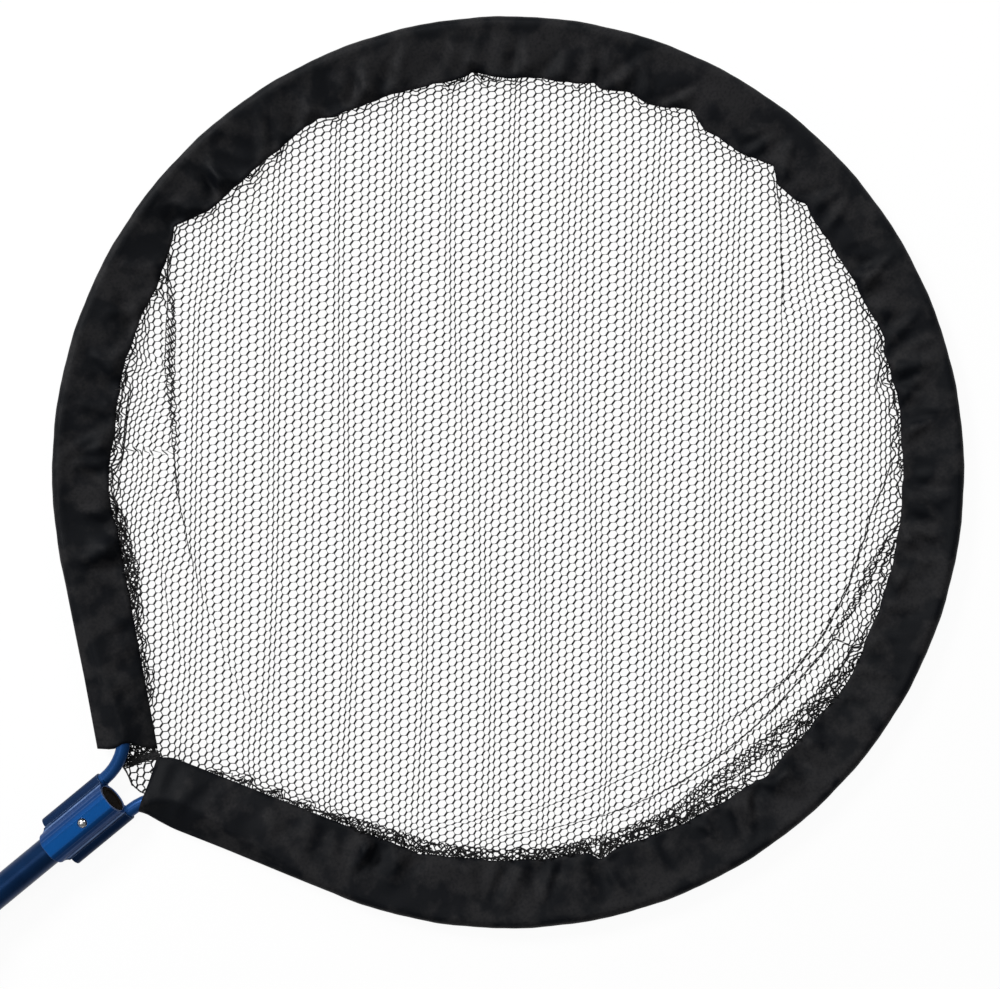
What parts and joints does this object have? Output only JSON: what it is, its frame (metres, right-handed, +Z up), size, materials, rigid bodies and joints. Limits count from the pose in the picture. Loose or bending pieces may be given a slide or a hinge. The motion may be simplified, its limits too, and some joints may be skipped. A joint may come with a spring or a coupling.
{
  "type": "koi net",
  "caption": "Round pan net for handling koi: a rod hoop in a fabric sleeve holds a slack hexagonal net, clipped by a snap button to a telescopic twist-lock pole.",
  "frame": {"origin": "on the floor under the middle of the hoop, on the underside of the net", "axes": "+X away from the pole along the pole line, +Y across the hoop, +Z up"},
  "size_m": [1.737, 0.7634, 0.0365],
  "materials": {
    "blue_paint": "gloss enamel with fine orange peel and worn edges",
    "blue_pole": "gloss dark blue enamel",
    "sleeve_cloth": "black woven nylon",
    "net_yarn": "black knotless net yarn",
    "button_steel": "bright steel",
    "spring_steel": "spring steel",
    "plug_plastic": "matt black moulding",
    "lock_plastic": "satin black moulding",
    "guide_plastic": "grey moulding",
    "grip_rubber": "soft black rubber"
  },
  "bodies": {
    "head": {"hoop_rod": "blue_paint", "hoop_sleeve": "sleeve_cloth", "net_mesh": "net_yarn", "head_bracket": "blue_paint", "inner_pole": "blue_pole", "pole_plug": "plug_plastic", "button_spring": "spring_steel", "guide_bush": "guide_plastic"},
    "rear_handle": {"outer_pole": "blue_pole", "lock_collet": "lock_plastic", "handle_grip": "grip_rubber", "end_cap": "lock_plastic"},
    "twist_collar": {"lock_collar": "lock_plastic"},
    "button": {"snap_button": "button_steel"}
  },
  "joints": [
    {"name": "pole_extend", "type": "slide", "parent": "head", "child": "rear_handle", "axis": [-1, 0, 0], "range_m": [0, 0.57]},
    {"name": "collar_twist", "type": "hinge", "parent": "rear_handle", "child": "twist_collar", "pos_m": [-0.6, 0, 0.01825], "axis": [1, 0, 0], "range_deg": [0, 150]},
    {"name": "button_press", "type": "slide", "parent": "head", "child": "button", "axis": [0, 0, -1], "range_m": [0, 0.0038], "stiffness_N_per_m": 2500, "springref_m": -0.001, "deforming": ["button_spring"]}
  ]
}
